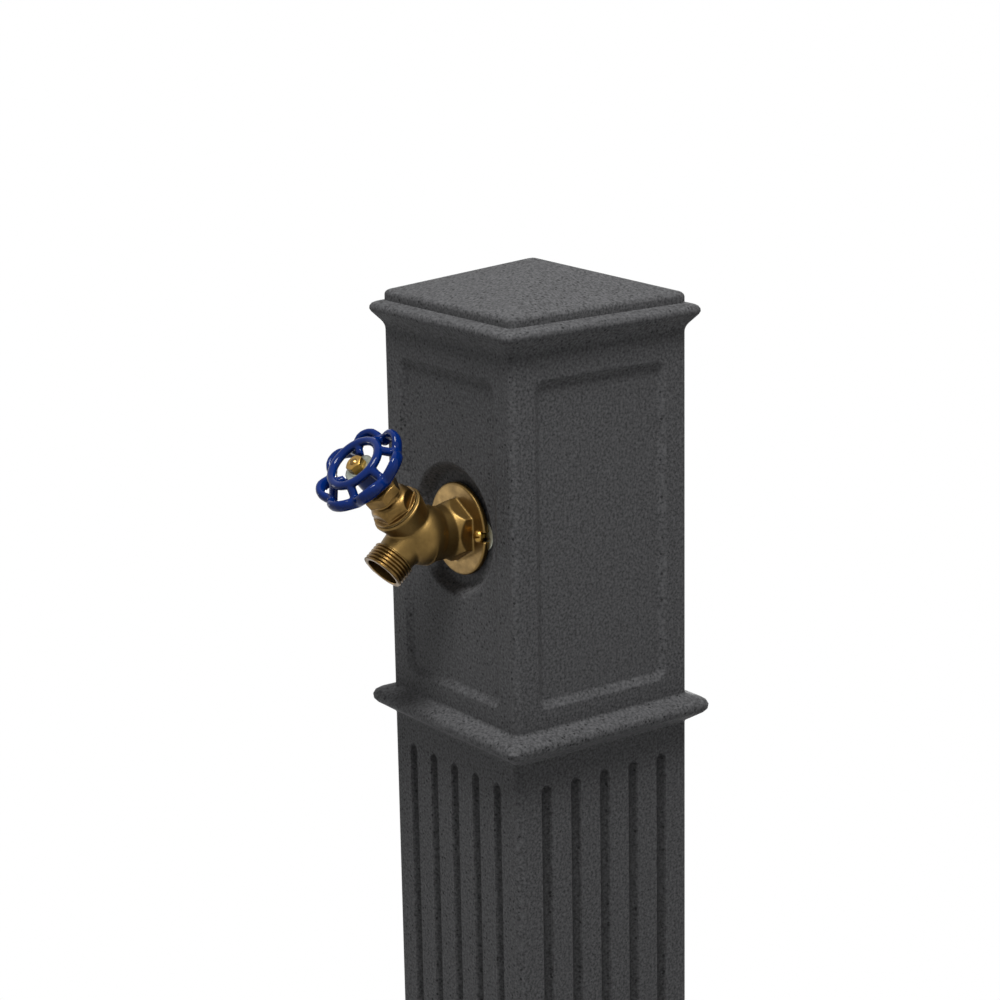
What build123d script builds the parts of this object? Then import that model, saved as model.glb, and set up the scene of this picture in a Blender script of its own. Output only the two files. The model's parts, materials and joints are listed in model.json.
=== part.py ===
from build123d import *
from math import atan2, cos, hypot, pi, radians, sin, tan
import os

# A garden tap on a square moulded post.
# Millimetres. Origin on the ground at the centre of the post, +Z up, the tap looks along -Y.

# Post: overall sizes
POST_HEIGHT = 914.4
BODY_WIDTH = 133.0
WALL = 4.0
BODY_CORNER = 4.4
CORNER_GROWTH = 0.2
CAVITY_CORNER = 3.0
LARGEST_CORNER = 0.7
SMALLEST_CORNER = 0.05
ARC_STEPS = 4

# Post: foot and plinth
FOOT_WIDTH = 216.0
FOOT_THICKNESS = 8.0
FOOT_FALL = 1.5
FOOT_EDGE = 3.0
ANCHOR_FROM_EDGE = 16.0
ANCHOR_HOLE = 11.0
PLINTH_WIDTH = 155.6
PLINTH_HEIGHT = 90.0
PLINTH_EDGE = 4.0
PLINTH_SLOPE = 9.0
PLINTH_NOSE_TOP = 75.0

# Post: band that goes round it; leans are the slopes of its flanks, in degrees
BAND_BELOW_TIP = 281.7
BAND_PROJECTION = 11.3
BAND_NOSE = 4.9
BAND_COVE = 2.5
BAND_TOP_LEAN = 18.0
BAND_BOTTOM_LEAN = 34.0

# Post: cap, a low pyramid on a square block, and the moulding under it
CAP_SLOPE = 17.5
CAP_TIP = 4.0
EAVE_ROUND = 3.2
CAP_BLOCK = 3.4
LEDGE_FALL = 1.2
MOULDING_PROJECTION = 7.4
MOULDING_NOSE = 3.6
MOULDING_LEAN = 50.0
MOULDING_COVE = 9.0
NOSE_TOP = 78.0

# Post: sunk panels, flutes and the round recess for the tap
PANEL_WIDTH = 99.0
PANEL_BELOW_MOULDING = 15.0
PANEL_ABOVE_BAND = 11.5
PANEL_DEPTH = 3.0
PANEL_BEVEL = 4.6
PANEL_CORNER = 3.0
PANEL_ROUND = 3.0
PANEL_ROUND_STEPS = 2
FLUTES_PER_FACE = 5
FLUTE_PITCH = 22.5
FLUTE_WIDTH = 7.6
FLUTE_DEPTH = 3.0
FLUTE_TIP = 0.3
FLUTE_BELOW_BAND = 15.0
FLUTE_ABOVE_PLINTH = 16.0
RECESS_RADIUS = 41.0
RECESS_FLOOR_RADIUS = 35.5
RECESS_DEPTH = 7.9
RECESS_EDGE_ROUND = 3.0
RECESS_FLOOR_ROUND = 4.0

# Tap: place of its three axes
TAP_BELOW_TIP = 159.5
STEM_AXIS_OUT = 85.8
STEM_ANGLE = 48.2
SPOUT_AXIS_OUT = 95.0
SPOUT_ANGLE = 40.0

# Tap: flange, hexagon and the way through the wall
FLANGE_RADIUS = 28.7
FLANGE_THICKNESS = 3.6
FLANGE_EDGE = 0.8
SCREW_SPACING = 45.4
SCREW_SLOT = 5.6
HEX_RADIUS = 19.6
HEX_LENGTH = 11.5
HEX_CHAMFER = 6.5
BARREL_RADIUS = 16.4
CHAMBER_RADIUS = 18.5
CHAMBER_OUT = 86.5
CHAMBER_RISE = 1.0
CHAMBER_EDGE = 1.6
SHANK_RADIUS = 13.2
SHANK_LENGTH = 24.0
SHANK_CLEARANCE = 1.8
INLET_BORE = 7.5
INLET_BORE_END = 78.0

# Tap: boss for the bonnet, measured along the stem from the inlet axis
BOSS_TOP = 27.3
BOSS_RADIUS = 16.8
BOSS_FOOT = 13.5
BOSS_FOOT_RADIUS = 13.6
BOSS_EDGE = 0.8
BOSS_BORE = 11.2
CHAMBER_BORE = 10.5
PARTITION_TOP = -2.5

# Tap: spout, measured along it from the inlet axis
SPOUT_LENGTH = 27.0
SPOUT_NECK_RADIUS = 11.8
SPOUT_ROOT_RADIUS = 13.4
SPOUT_BORE = 9.0
SPOUT_MOUTH_BORE = 10.6
SPOUT_MOUTH_DEPTH = 9.0
SPOUT_BORE_START = 3.0
HOSE_THREAD_RADIUS = 13.5
HOSE_THREAD_LENGTH = 12.0
HOSE_THREAD_CHAMFER = 0.7

# Valve seat, washer and stem
SEAT_RADIUS = 8.5
SEAT_BORE = 5.5
SEAT_PROUD = 1.3
SEAT_DEPTH = 3.0
WASHER_RADIUS = 7.5
WASHER_THICKNESS = 4.0
WASHER_SUNK = 2.0
CUP_WALL = 1.2
CUP_FLOOR = 2.2
WASHER_SCREW_HEAD = 3.2
WASHER_SCREW_HEAD_HEIGHT = 1.8
WASHER_SCREW_SHANK = 1.8
WASHER_SCREW_LENGTH = 12.0
STEM_THREAD_RADIUS = 7.2
STEM_THREAD_START = 12.0
STEM_THREAD_LENGTH = 11.0
STEM_RADIUS = 4.75
STEM_WAIST = 5.6
STEM_SQUARE = 6.6
STUD_RADIUS = 2.4
STUD_TIP_RADIUS = 1.5
THREAD_LEAD = 2.54
TURNS_OPEN = 2.5

# Bonnet, packing and packing nut
GASKET_THICKNESS = 0.6
BONNET_FLANGE_RADIUS = 15.4
BONNET_FLANGE = 1.6
BONNET_HEX_RADIUS = 14.4
BONNET_HEX = 8.8
BONNET_SHOULDER = 7.5
BONNET_SPIGOT = 11.0
BONNET_NECK_RADIUS = 9.4
BONNET_NECK = 5.6
THREAD_SPARE = 3.7
PACKING_RADIUS = 7.4
PACKING_HEIGHT = 4.6
FOLLOWER_HEIGHT = 2.2
PACKING_NUT_RADIUS = 12.4
PACKING_NUT_GAP = 1.9
PACKING_NUT_TURN = 29.0
PACKING_NUT_TOP = 3.0
NUT_CHAMFER = 1.3
CORNER_TURNED = 1.6

# Handwheel, measured along the stem
HUB_GAP = 1.6
HUB_RADIUS = 7.6
HUB_LENGTH = 16.4
RIM_RADIUS = 26.6
RIM_HEIGHT = 63.7
RIM_WIDTH = 5.4
RIM_DEPTH = 8.4
LOBES = 7
LOBE_SWELL = 2.0
LOBE_RISE = 1.7
VALLEY_SHARPNESS = 0.2
LOBE_STEPS = 10
SECTION_SIDES = 12
INNER_RING_RADIUS = 16.8
INNER_RING_HEIGHT = 70.2
INNER_RING_WIDTH = 5.6
RIB_WIDTH = 5.4
RIB_DEPTH = 5.4
SPOKES = 3
SPOKE_WIDTH = 5.0
SPOKE_DEPTH = 4.4
RIB_TURN = -2.0
SPOKE_TURN = 10.0
DISC_RADIUS = 9.6
DISC_THICKNESS = 1.2
DISC_DISH = 0.5
WHEEL_NUT_RADIUS = 5.9
WHEEL_NUT_HEIGHT = 5.6
STUD_PROUD = 0.8

# Flange fasteners
SCREW_RADIUS = 2.4
SCREW_HEAD_RADIUS = 4.0
SCREW_HEAD_HEIGHT = 3.2
DOME_STEPS = 4
SCREW_TAIL = 1.6
FLANGE_WASHER_RADIUS = 9.5
FLANGE_WASHER_THICKNESS = 1.2
FLANGE_NUT_RADIUS = 4.6
FLANGE_NUT_THICKNESS = 4.0
FLANGE_NUT_CHAMFER = 0.5

# Supply pipe inside the post
PIPE_RADIUS = 13.35
PIPE_BORE = 10.5
PIPE_ENGAGED = 14.0
ELBOW_REACH = 33.0
ELBOW_BODY_RADIUS = 17.0
ELBOW_BEND = 18.0
ELBOW_BAND_RADIUS = 19.4
ELBOW_BAND = 7.0
COUPLING_RADIUS = 18.0
COUPLING_LENGTH = 40.0
COUPLING_ABOVE_GROUND = 14.0
INLET_THREAD_RADIUS = 12.5
INLET_THREAD_LENGTH = 18.0
SPACER_HEIGHT = 18.0
SPACER_RING = 4.0
SPACER_ARM = 6.0
SPACER_SHOE_WIDTH = 16.0
SPACER_SHOE = 4.0
UPPER_SPACER_HEIGHT = 590.0
LOWER_SPACER_HEIGHT = 150.0

# Clearances
RUNNING = 0.05
FIT = 0.05
SLIP = 0.3
PAST = 1.0


def flank_height(projection, nose, cove, lean):
    """Height of a moulding's flank, from the middle of its nose to the end of its cove."""
    turn = radians(90 - lean)
    run = projection - (nose + cove) * (1 - cos(turn))
    return (nose + cove) * sin(turn) + run * tan(radians(lean))


# Sizes that follow from those above
body_half = BODY_WIDTH / 2
plinth_half = PLINTH_WIDTH / 2
foot_half = FOOT_WIDTH / 2
anchor_spacing = FOOT_WIDTH - 2 * ANCHOR_FROM_EDGE
cavity_half = body_half - PANEL_DEPTH - WALL
panel_face = body_half - PANEL_DEPTH
recess_floor = panel_face - RECESS_DEPTH
pad_radius = RECESS_RADIUS + WALL / 2
pad_face = recess_floor - WALL

eave_rise = EAVE_ROUND * cos(radians(CAP_SLOPE))
eave_run = body_half - EAVE_ROUND * (1 - sin(radians(CAP_SLOPE))) - CAP_TIP / 2
cap_fall = eave_run * tan(radians(CAP_SLOPE))
block_top = POST_HEIGHT - cap_fall - eave_rise
block_bottom = block_top - CAP_BLOCK
moulding_height = block_bottom - LEDGE_FALL - MOULDING_NOSE
cap_bottom = moulding_height - flank_height(MOULDING_PROJECTION, MOULDING_NOSE, MOULDING_COVE, MOULDING_LEAN)
band_height = POST_HEIGHT - BAND_BELOW_TIP
band_top = band_height + flank_height(BAND_PROJECTION, BAND_NOSE, BAND_COVE, BAND_TOP_LEAN)
band_bottom = band_height - flank_height(BAND_PROJECTION, BAND_NOSE, BAND_COVE, BAND_BOTTOM_LEAN)
plinth_top = PLINTH_HEIGHT + PLINTH_SLOPE
tap_height = POST_HEIGHT - TAP_BELOW_TIP

flange_back = recess_floor + FLANGE_WASHER_THICKNESS
flange_front = flange_back + FLANGE_THICKNESS
hex_front = flange_front + HEX_LENGTH
shank_end = flange_back - SHANK_LENGTH
elbow_mouth = shank_end + PIPE_ENGAGED
riser_out = elbow_mouth - ELBOW_REACH
riser_top = tap_height - ELBOW_REACH + PIPE_ENGAGED
coupling_top = COUPLING_ABOVE_GROUND + COUPLING_LENGTH
riser_bottom = coupling_top - PIPE_ENGAGED

seat_top = PARTITION_TOP + SEAT_PROUD
washer_top = seat_top + WASHER_THICKNESS
cup_lip = washer_top - WASHER_SUNK
cup_top = washer_top + CUP_FLOOR
lift = THREAD_LEAD * TURNS_OPEN
stem_thread_top = STEM_THREAD_START + STEM_THREAD_LENGTH
gasket_top = BOSS_TOP + GASKET_THICKNESS
bonnet_hex_bottom = gasket_top + BONNET_FLANGE
bonnet_hex_top = bonnet_hex_bottom + BONNET_HEX
bonnet_top = bonnet_hex_top + BONNET_NECK
bonnet_bottom = BOSS_TOP - BONNET_SPIGOT
thread_room = stem_thread_top + lift + THREAD_SPARE
packing_bottom = bonnet_top - PACKING_HEIGHT - FOLLOWER_HEIGHT + FIT
packing_nut_bottom = bonnet_hex_top + PACKING_NUT_GAP
packing_nut_inside = bonnet_top + FIT
packing_nut_top = packing_nut_inside + PACKING_NUT_TOP
hub_bottom = packing_nut_top + HUB_GAP
hub_top = hub_bottom + HUB_LENGTH
disc_top = hub_top + DISC_THICKNESS
wheel_nut_top = disc_top + WHEEL_NUT_HEIGHT

BASE = (Align.CENTER, Align.CENTER, Align.MIN)

# Frames: the local Z axis runs outward along the inlet, the stem or the spout
inlet = Plane(origin=(0, 0, tap_height), x_dir=(1, 0, 0), z_dir=(0, -1, 0))
stem_out = (0, -cos(radians(STEM_ANGLE)), sin(radians(STEM_ANGLE)))
stem_line = Plane(origin=(0, -STEM_AXIS_OUT, tap_height), x_dir=(1, 0, 0), z_dir=stem_out)
spout_out = (0, -cos(radians(SPOUT_ANGLE)), -sin(radians(SPOUT_ANGLE)))
spout_line = Plane(origin=(0, -SPOUT_AXIS_OUT, tap_height), x_dir=(1, 0, 0), z_dir=spout_out)


def rod(radius, start, end):
    return Pos(0, 0, start) * Cylinder(radius, end - start, align=BASE)


def taper(radius_start, radius_end, start, end):
    return Pos(0, 0, start) * Cone(radius_start, radius_end, end - start, align=BASE)


def tube(outer, inner, start, end):
    return rod(outer, start, end) - rod(inner, start - PAST, end + PAST)


def hex_blank(radius, start, end, chamfer, turn=0.0):
    """Hexagon bar whose corners are turned off at the outer end."""
    bar = Pos(0, 0, start) * extrude(RegularPolygon(radius, 6, rotation=turn), end - start)
    flat = radius * cos(pi / 6)
    run = (radius - flat) * CORNER_TURNED
    turned = rod(radius + PAST, start, end - chamfer)
    turned += taper(radius, radius - run, end - chamfer, end)
    return bar & turned


def hex_drum(radius, start, end, shoulder):
    """Hexagon bar whose outer end is turned to a round shoulder."""
    bar = Pos(0, 0, start) * extrude(RegularPolygon(radius, 6), end - start)
    side = Polyline((radius - shoulder, end), (0, end), (0, start), (radius, start), (radius, end - shoulder))
    arc = RadiusArc((radius, end - shoulder), (radius - shoulder, end), -shoulder)
    return bar & revolve(make_face(Plane.XZ * (side + arc)), Axis.Z)


def rounded_square(half, height, corner):
    return Pos(0, 0, height) * RectangleRounded(2 * half, 2 * half, corner)


def arc_levels(centre_half, centre_height, radius, start, end):
    """Half widths and heights along an arc of the post's side profile, angles in degrees."""
    steps = [start + (end - start) * k / ARC_STEPS for k in range(ARC_STEPS + 1)]
    return [(centre_half + radius * cos(radians(a)), centre_height + radius * sin(radians(a))) for a in steps]


def plinth_levels():
    levels = [(foot_half, 0.0)]
    edge_height = FOOT_THICKNESS - FOOT_FALL - FOOT_EDGE
    levels += arc_levels(foot_half - FOOT_EDGE, edge_height, FOOT_EDGE, 0, 90)
    levels += [(plinth_half, FOOT_THICKNESS)]
    levels += arc_levels(plinth_half - PLINTH_EDGE, PLINTH_HEIGHT - PLINTH_EDGE, PLINTH_EDGE, 0, PLINTH_NOSE_TOP)
    levels += [(body_half, plinth_top)]
    return levels


def band_levels():
    nose = body_half + BAND_PROJECTION - BAND_NOSE
    cove = body_half + BAND_COVE
    above = 90 - BAND_TOP_LEAN
    below = 90 - BAND_BOTTOM_LEAN
    levels = arc_levels(cove, band_bottom, BAND_COVE, 180, 180 - below)
    levels += arc_levels(nose, band_height, BAND_NOSE, -below, above)
    levels += arc_levels(cove, band_top, BAND_COVE, 180 + above, 180)
    return levels


def cap_levels():
    below = 90 - MOULDING_LEAN
    nose = body_half + MOULDING_PROJECTION - MOULDING_NOSE
    levels = arc_levels(body_half + MOULDING_COVE, cap_bottom, MOULDING_COVE, 180, 180 - below)
    levels += arc_levels(nose, moulding_height, MOULDING_NOSE, -below, NOSE_TOP)
    levels += [(body_half, block_bottom)]
    levels += arc_levels(body_half - EAVE_ROUND, block_top, EAVE_ROUND, 0, 90 - CAP_SLOPE)
    levels += [(CAP_TIP / 2, POST_HEIGHT)]
    return levels


def corner_at(half):
    grown = BODY_CORNER + CORNER_GROWTH * (half - body_half)
    return max(min(grown, half * LARGEST_CORNER), half * SMALLEST_CORNER)


def post_skin():
    levels = plinth_levels() + band_levels() + cap_levels()
    return loft([rounded_square(half, height, corner_at(half)) for half, height in levels], ruled=True)


def post_cavity():
    slope = tan(radians(CAP_SLOPE))
    tip_height = POST_HEIGHT - WALL / cos(radians(CAP_SLOPE))
    tip_half = CAP_TIP / 2
    plinth_inside = plinth_half - WALL
    levels = [
        (plinth_inside, -PAST),
        (plinth_inside, PLINTH_HEIGHT - WALL),
        (cavity_half, plinth_top - WALL),
        (cavity_half, tip_height - cavity_half * slope),
        (tip_half, tip_height - tip_half * slope),
    ]
    sections = [rounded_square(half, height, min(CAVITY_CORNER, half * LARGEST_CORNER)) for half, height in levels]
    return loft(sections, ruled=True)


def panel_profile():
    """Edge of a sunk panel as pairs of inset and depth: a rounded lip, a slope and a rounded foot."""
    slope = atan2(PANEL_DEPTH, PANEL_BEVEL)
    lip = PANEL_ROUND * tan(slope / 2)
    turns = [slope * k / PANEL_ROUND_STEPS for k in range(PANEL_ROUND_STEPS + 1)]
    profile = [(PANEL_ROUND * sin(a) - lip, PANEL_ROUND * (1 - cos(a))) for a in turns]
    foot = [(PANEL_BEVEL - inset, PANEL_DEPTH - depth) for inset, depth in profile]
    return profile + foot[::-1]


def panel_cut():
    """Sunk panel with soft sloping edges on the face that looks along -Y."""
    bottom = band_top + PANEL_ABOVE_BAND
    top = cap_bottom - PANEL_BELOW_MOULDING
    face = Plane(origin=(0, -body_half, (bottom + top) / 2), x_dir=(1, 0, 0), z_dir=(0, -1, 0))
    levels = panel_profile()
    levels.insert(0, (levels[0][0], -PAST))
    sections = []
    for inset, depth in levels:
        corner = PANEL_CORNER + PANEL_BEVEL - inset
        outline = RectangleRounded(PANEL_WIDTH - 2 * inset, top - bottom - 2 * inset, corner)
        sections.append(face * Pos(0, 0, -depth) * outline)
    return loft(sections, ruled=True)


def flute_cuts():
    """Round-ended vertical grooves on the face that looks along -Y."""
    radius = (FLUTE_WIDTH ** 2 / 4 + FLUTE_DEPTH ** 2) / (2 * FLUTE_DEPTH)
    out = body_half + radius - FLUTE_DEPTH
    end = FLUTE_WIDTH / 2
    bottom = plinth_top + FLUTE_ABOVE_PLINTH + end
    top = band_bottom - FLUTE_BELOW_BAND - end
    point = end * (radius - FLUTE_TIP) / FLUTE_DEPTH
    groove = rod(radius, bottom, top) + taper(radius, FLUTE_TIP, top, top + point)
    groove += taper(FLUTE_TIP, radius, bottom - point, bottom)
    first = -FLUTE_PITCH * (FLUTES_PER_FACE - 1) / 2
    return [Pos(first + FLUTE_PITCH * k, -out, 0) * groove for k in range(FLUTES_PER_FACE)]


def recess_cut():
    """Round dish with a sloping side and a rounded edge, open at the face of the post."""
    lip = RECESS_RADIUS + RECESS_EDGE_ROUND + PAST
    line = FilletPolyline(
        (0, recess_floor),
        (RECESS_FLOOR_RADIUS, recess_floor),
        (RECESS_RADIUS, panel_face),
        (lip, panel_face),
        radius=[RECESS_FLOOR_ROUND, RECESS_EDGE_ROUND],
    )
    line += Polyline((lip, panel_face), (lip, body_half + PAST), (0, body_half + PAST), (0, recess_floor))
    profile = make_face(Plane.XZ * line)
    return inlet * revolve(profile, Axis.Z)


def screw_places():
    return [-SCREW_SPACING / 2, SCREW_SPACING / 2]


def make_post_shell():
    shell = post_skin() - post_cavity()
    shell += inlet * rod(pad_radius, pad_face, cavity_half + WALL / 2)
    shell -= recess_cut()
    shell -= inlet * rod(SHANK_RADIUS + SHANK_CLEARANCE, pad_face - PAST, body_half)
    holes = [inlet * Pos(x, 0, 0) * rod(SCREW_RADIUS + SLIP, pad_face - PAST, body_half) for x in screw_places()]
    corners = GridLocations(anchor_spacing, anchor_spacing, 2, 2)
    holes += [place * rod(ANCHOR_HOLE / 2, -PAST, FOOT_THICKNESS + PAST) for place in corners]
    for quarter in range(4):
        turn = Rot(0, 0, 90 * quarter)
        holes.append(turn * panel_cut())
        holes += [turn * groove for groove in flute_cuts()]
    return shell - holes


def make_tap_body():
    flange = rod(FLANGE_RADIUS, flange_back, flange_front - FLANGE_EDGE)
    flange += taper(FLANGE_RADIUS, FLANGE_RADIUS - FLANGE_EDGE, flange_front - FLANGE_EDGE, flange_front)
    hexagon = hex_blank(HEX_RADIUS, flange_front, hex_front, HEX_CHAMFER, turn=30)
    barrel = taper(BARREL_RADIUS, CHAMBER_RADIUS - CHAMBER_EDGE, hex_front - PAST, CHAMBER_OUT - CHAMBER_EDGE)
    barrel += taper(
        CHAMBER_RADIUS - CHAMBER_EDGE, CHAMBER_RADIUS, CHAMBER_OUT - CHAMBER_EDGE, CHAMBER_OUT
    )
    chamber = Pos(0, CHAMBER_RISE, CHAMBER_OUT) * Sphere(CHAMBER_RADIUS)
    shank = rod(SHANK_RADIUS, shank_end, flange_back)
    body = inlet * (flange + hexagon + barrel + chamber + shank)

    boss = taper(BOSS_FOOT_RADIUS, BOSS_RADIUS, BOSS_FOOT, BOSS_TOP - BOSS_EDGE)
    boss += rod(BOSS_FOOT_RADIUS, 0, BOSS_FOOT)
    boss += taper(BOSS_RADIUS, BOSS_RADIUS - BOSS_EDGE, BOSS_TOP - BOSS_EDGE, BOSS_TOP)
    body += stem_line * boss

    thread_start = SPOUT_LENGTH - HOSE_THREAD_LENGTH
    thread_end = SPOUT_LENGTH - HOSE_THREAD_CHAMFER
    spout = taper(SPOUT_ROOT_RADIUS, SPOUT_NECK_RADIUS, 0, thread_start)
    spout += rod(HOSE_THREAD_RADIUS, thread_start, thread_end)
    spout += taper(HOSE_THREAD_RADIUS, HOSE_THREAD_RADIUS - HOSE_THREAD_CHAMFER, thread_end, SPOUT_LENGTH)
    body += spout_line * spout

    slot = SlotOverall(2 * FLANGE_RADIUS, SCREW_SLOT)
    slot = extrude(slot, FLANGE_THICKNESS + 2 * PAST)
    slot_shift = SCREW_SPACING / 2 + FLANGE_RADIUS - SCREW_SLOT / 2
    body -= [inlet * Pos(side * slot_shift, 0, flange_back - PAST) * slot for side in (-1, 1)]
    body -= inlet * rod(INLET_BORE, shank_end - PAST, INLET_BORE_END)
    body -= stem_line * rod(SEAT_BORE, PARTITION_TOP - 2 * SEAT_BORE, PARTITION_TOP)
    body -= stem_line * rod(SEAT_RADIUS + FIT, PARTITION_TOP - SEAT_DEPTH, PARTITION_TOP + PAST)
    body -= stem_line * rod(CHAMBER_BORE, PARTITION_TOP, bonnet_bottom)
    body -= stem_line * rod(BOSS_BORE, bonnet_bottom - PAST, BOSS_TOP + PAST)
    body -= spout_line * rod(SPOUT_BORE, SPOUT_BORE_START, SPOUT_LENGTH)
    body -= spout_line * rod(SPOUT_MOUTH_BORE, SPOUT_LENGTH - SPOUT_MOUTH_DEPTH, SPOUT_LENGTH + PAST)
    return body


def make_valve_seat():
    return stem_line * tube(SEAT_RADIUS, SEAT_BORE, PARTITION_TOP - SEAT_DEPTH, seat_top)


def make_seat_washer():
    return stem_line * tube(WASHER_RADIUS, WASHER_SCREW_SHANK + FIT, seat_top, washer_top)


def make_washer_screw():
    head = rod(WASHER_SCREW_HEAD, seat_top - WASHER_SCREW_HEAD_HEIGHT, seat_top)
    return stem_line * (head + rod(WASHER_SCREW_SHANK, seat_top, seat_top + WASHER_SCREW_LENGTH))


def make_stem():
    cup = rod(WASHER_RADIUS + FIT + CUP_WALL, cup_lip, cup_top)
    cup -= rod(WASHER_RADIUS + FIT, cup_lip - PAST, washer_top + FIT)
    stem = cup + rod(STEM_WAIST, washer_top + FIT, STEM_THREAD_START)
    stem += rod(STEM_THREAD_RADIUS, STEM_THREAD_START, stem_thread_top)
    stem += rod(STEM_RADIUS, stem_thread_top, hub_bottom)
    stem += Pos(0, 0, hub_bottom) * extrude(Rectangle(STEM_SQUARE, STEM_SQUARE), hub_top - hub_bottom)
    stem += rod(STUD_RADIUS, hub_top, wheel_nut_top)
    stem += Pos(0, 0, wheel_nut_top) * taper(STUD_RADIUS, STUD_TIP_RADIUS, 0, STUD_PROUD)
    stem -= rod(WASHER_SCREW_SHANK + FIT, washer_top - PAST, seat_top + WASHER_SCREW_LENGTH + PAST)
    return stem_line * stem


def make_bonnet_gasket():
    return stem_line * tube(BONNET_FLANGE_RADIUS - SLIP, BOSS_BORE, BOSS_TOP, gasket_top)


def make_bonnet():
    bonnet = rod(BOSS_BORE - FIT, bonnet_bottom, gasket_top)
    bonnet += rod(BONNET_FLANGE_RADIUS, gasket_top, bonnet_hex_bottom)
    bonnet += hex_drum(BONNET_HEX_RADIUS, bonnet_hex_bottom, bonnet_hex_top, BONNET_SHOULDER)
    bonnet += rod(BONNET_NECK_RADIUS, bonnet_hex_bottom, bonnet_top)
    bonnet -= rod(STEM_THREAD_RADIUS + RUNNING, bonnet_bottom - PAST, thread_room)
    bonnet -= rod(STEM_RADIUS + RUNNING, thread_room - PAST, bonnet_top)
    bonnet -= rod(PACKING_RADIUS + FIT, packing_bottom, bonnet_top + PAST)
    return stem_line * bonnet


def make_stem_packing():
    top = packing_bottom + PACKING_HEIGHT
    return stem_line * tube(PACKING_RADIUS, STEM_RADIUS + RUNNING, packing_bottom, top)


def make_packing_follower():
    bottom = packing_bottom + PACKING_HEIGHT
    return stem_line * tube(PACKING_RADIUS, STEM_RADIUS + RUNNING, bottom, packing_nut_inside)


def make_packing_nut():
    nut = hex_blank(PACKING_NUT_RADIUS, packing_nut_bottom, packing_nut_top, NUT_CHAMFER, turn=PACKING_NUT_TURN)
    nut -= rod(BONNET_NECK_RADIUS + FIT, packing_nut_bottom - PAST, packing_nut_inside)
    nut -= rod(STEM_RADIUS + RUNNING, packing_nut_inside - PAST, packing_nut_top + PAST)
    return stem_line * nut


def rim_point(turn):
    """Centre line of the lobed rim: broad lobes stand out and rise between the ribs."""
    wave = -cos(LOBES * turn) - VALLEY_SHARPNESS * cos(2 * LOBES * turn)
    radius = RIM_RADIUS + LOBE_SWELL * wave
    return Vector(radius * cos(turn), radius * sin(turn), RIM_HEIGHT + LOBE_RISE * wave)


def rim_outward(turn):
    """Direction across the rim, square to its centre line as seen along the stem."""
    centre = rim_point(turn)
    radius = hypot(centre.X, centre.Y)
    slope = LOBE_SWELL * LOBES * (sin(LOBES * turn) + 2 * VALLEY_SHARPNESS * sin(2 * LOBES * turn))
    lean = turn - atan2(slope, radius)
    return Vector(cos(lean), sin(lean), 0)


def oval(width, depth):
    """Round section in flats, so that the wheel's bars stay light."""
    turns = [2 * pi * (k + 0.5) / SECTION_SIDES for k in range(SECTION_SIDES)]
    return make_face(Polyline(*[(width / 2 * cos(t), depth / 2 * sin(t)) for t in turns], close=True))


def bar_between(start, end, width, depth):
    """Oval bar from one point to another, its width across the wheel's axis."""
    along = (end - start).normalized()
    across = Vector(0, 0, 1).cross(along)
    return extrude(Plane(origin=start, x_dir=across, z_dir=along) * oval(width, depth), (end - start).length)


def make_lobe():
    """One lobe of the rim, from the rib at zero degrees to the next one."""
    sections = []
    for k in range(LOBE_STEPS + 1):
        turn = 2 * pi / LOBES * k / LOBE_STEPS
        outward = rim_outward(turn)
        along = Vector(0, 0, 1).cross(outward)
        sections.append(Plane(origin=rim_point(turn), x_dir=outward, z_dir=along) * oval(RIM_WIDTH, RIM_DEPTH))
    return loft(sections, ruled=True)


def make_handwheel():
    lobe = make_lobe()
    rim = lobe
    for k in range(1, LOBES):
        rim += Rot(0, 0, 360 * k / LOBES) * lobe
    for k in range(LOBES):
        turn = 2 * pi * k / LOBES
        root = Vector(INNER_RING_RADIUS * cos(turn), INNER_RING_RADIUS * sin(turn), INNER_RING_HEIGHT)
        rim += bar_between(root, rim_point(turn), RIB_WIDTH, RIB_DEPTH)
    wheel = Rot(0, 0, RIB_TURN) * rim
    ring = Plane.XZ * Pos(INNER_RING_RADIUS, INNER_RING_HEIGHT) * oval(INNER_RING_WIDTH, INNER_RING_WIDTH)
    wheel += revolve(ring, Axis.Z)
    wheel += rod(HUB_RADIUS, hub_bottom, hub_top)
    for k in range(SPOKES):
        turn = 2 * pi * k / SPOKES + radians(SPOKE_TURN)
        root = Vector(0, 0, hub_top - SPOKE_DEPTH)
        tip = Vector(INNER_RING_RADIUS * cos(turn), INNER_RING_RADIUS * sin(turn), INNER_RING_HEIGHT)
        wheel += bar_between(root, tip, SPOKE_WIDTH, SPOKE_DEPTH)
    wheel -= rod(DISC_RADIUS + SLIP, hub_top, INNER_RING_HEIGHT + INNER_RING_WIDTH)
    hole = STEM_SQUARE + 2 * FIT
    wheel -= Pos(0, 0, hub_bottom - PAST) * extrude(Rectangle(hole, hole), HUB_LENGTH + 2 * PAST)
    return stem_line * wheel


def make_wheel_disc():
    disc = rod(DISC_RADIUS, hub_top, disc_top)
    disc -= taper(WHEEL_NUT_RADIUS, DISC_RADIUS, disc_top - DISC_DISH, disc_top + DISC_DISH / 4)
    disc += rod(WHEEL_NUT_RADIUS + DISC_DISH, hub_top, disc_top)
    disc -= rod(STUD_RADIUS + FIT, hub_top - PAST, disc_top + PAST)
    return stem_line * disc


def make_wheel_nut():
    nut = hex_blank(WHEEL_NUT_RADIUS, disc_top, wheel_nut_top, NUT_CHAMFER / 2)
    nut -= rod(STUD_RADIUS + FIT, disc_top - PAST, wheel_nut_top + PAST)
    return stem_line * nut


def dome(radius, height, start):
    """Round screw head, its curve in short slopes."""
    turns = [pi / 2 * k / DOME_STEPS for k in range(DOME_STEPS)]
    outline = [(0, start)] + [(radius * cos(t), start + height * sin(t)) for t in turns] + [(0, start + height)]
    return revolve(make_face(Plane.XZ * Polyline(*outline, close=True)), Axis.Z)


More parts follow.
